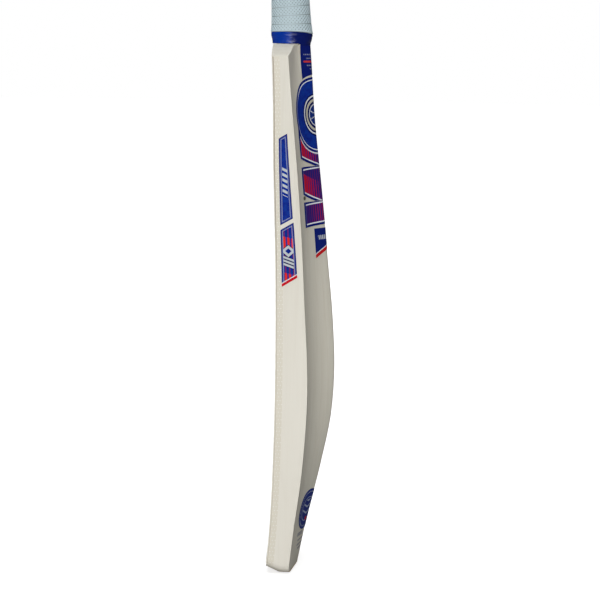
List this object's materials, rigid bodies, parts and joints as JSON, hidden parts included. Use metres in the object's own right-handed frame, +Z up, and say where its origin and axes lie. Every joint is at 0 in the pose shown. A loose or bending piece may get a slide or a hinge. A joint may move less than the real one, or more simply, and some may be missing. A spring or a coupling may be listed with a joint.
{
  "type": "cricket bat",
  "caption": "Full-size cricket bat: bowed willow blade with a high spine, spliced cane handle, dimpled rubber grip, blue collar tape and blue, red and navy vinyl labels.",
  "frame": {"origin": "under the middle of the bat's box, on the plane that the toe stands on", "axes": "+Z up the bat from the toe to the handle's end; -Y is the side of the hitting face and +Y the side of the spine; X across the blade"},
  "size_m": [0.108, 0.083, 0.85],
  "materials": {
    "willow": "pressed and polished pale willow, satin, straight grain along the blade",
    "cane": "planed cane, matt",
    "spring_rubber": "black rubber sheet, matt",
    "twine": "waxed linen twine, close wound",
    "grip_rubber": "pale blue moulded rubber, ringed and dimpled, matt",
    "collar_tape": "glossy royal blue tape, slightly wrinkled",
    "anti_scuff_film": "thin clear film with rows of small white dots, satin",
    "toe_guard": "amber-brown hard rubber, satin",
    "navy_vinyl": "navy printed vinyl, semi-gloss",
    "blue_vinyl": "royal blue printed vinyl with a navy border and red stripes, semi-gloss"
  },
  "bodies": {
    "root": {"blade": "willow", "cane_1_left": "cane", "cane_1_middle": "cane", "cane_1_right": "cane", "cane_2_left": "cane", "cane_2_middle": "cane", "cane_2_right": "cane", "cane_3_left": "cane", "cane_3_middle": "cane", "cane_3_right": "cane", "cane_4_left": "cane", "cane_4_middle": "cane", "cane_4_right": "cane", "spring_strip_1": "spring_rubber", "spring_strip_2": "spring_rubber", "spring_strip_3": "spring_rubber", "twine_binding": "twine", "grip": "grip_rubber", "collar_tape": "collar_tape", "anti_scuff_sheet": "anti_scuff_film", "toe_shield": "toe_guard", "throat_label": "navy_vinyl", "round_label": "blue_vinyl", "bar_label_1": "blue_vinyl", "bar_label_2": "blue_vinyl", "bar_label_3": "blue_vinyl", "name_label": "navy_vinyl", "badge_label": "navy_vinyl", "upper_edge_label_right": "blue_vinyl", "upper_edge_label_left": "blue_vinyl", "lower_edge_label_right": "blue_vinyl", "lower_edge_label_left": "blue_vinyl"}
  },
  "joints": []
}
